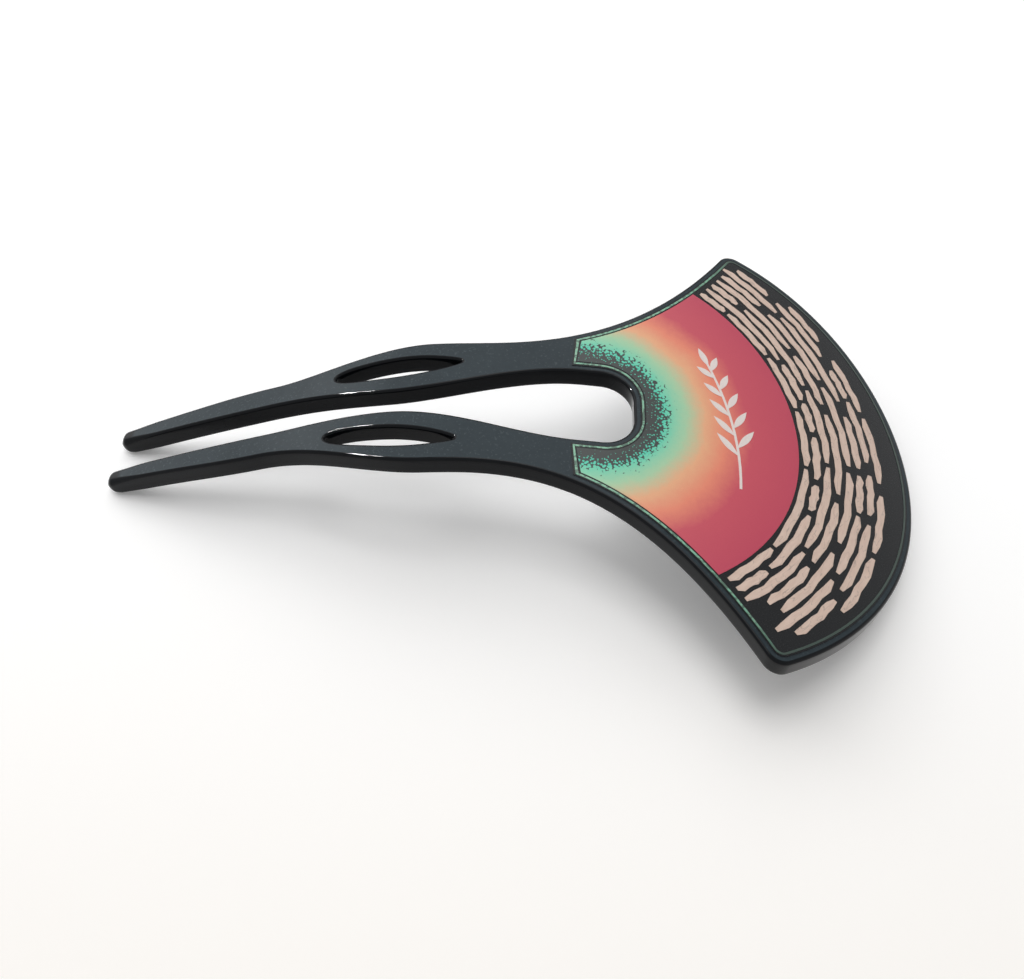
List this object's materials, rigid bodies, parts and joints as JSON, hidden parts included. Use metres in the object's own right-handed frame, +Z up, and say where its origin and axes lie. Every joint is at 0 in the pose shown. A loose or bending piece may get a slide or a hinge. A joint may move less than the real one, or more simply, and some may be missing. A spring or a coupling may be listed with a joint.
{
  "type": "two-pronged hair fork",
  "caption": "Arched two-pronged hair fork in glossy black resin, with a wide fan-shaped head, pierced prongs and a printed decorative film on its face.",
  "frame": {"origin": "on the table, midway between the prong tips and the rim, on the fork's middle line", "axes": "+X from the prong tips to the rim, +Y across the head, +Z up from the table"},
  "size_m": [0.13, 0.0774, 0.0199],
  "materials": {
    "black_resin": "polished black resin",
    "black_film": "glossy black print ground",
    "graded_ink": "print graded from teal through peach to crimson",
    "copper_ink": "pale copper print",
    "silver_ink": "silver-white print",
    "pale_ink": "pale green print"
  },
  "bodies": {
    "root": {"fork_body": "black_resin", "backing_film": "black_film", "colour_field": "graded_ink", "copper_strokes": "copper_ink", "silver_sprig": "silver_ink", "edge_line": "pale_ink"}
  },
  "joints": []
}
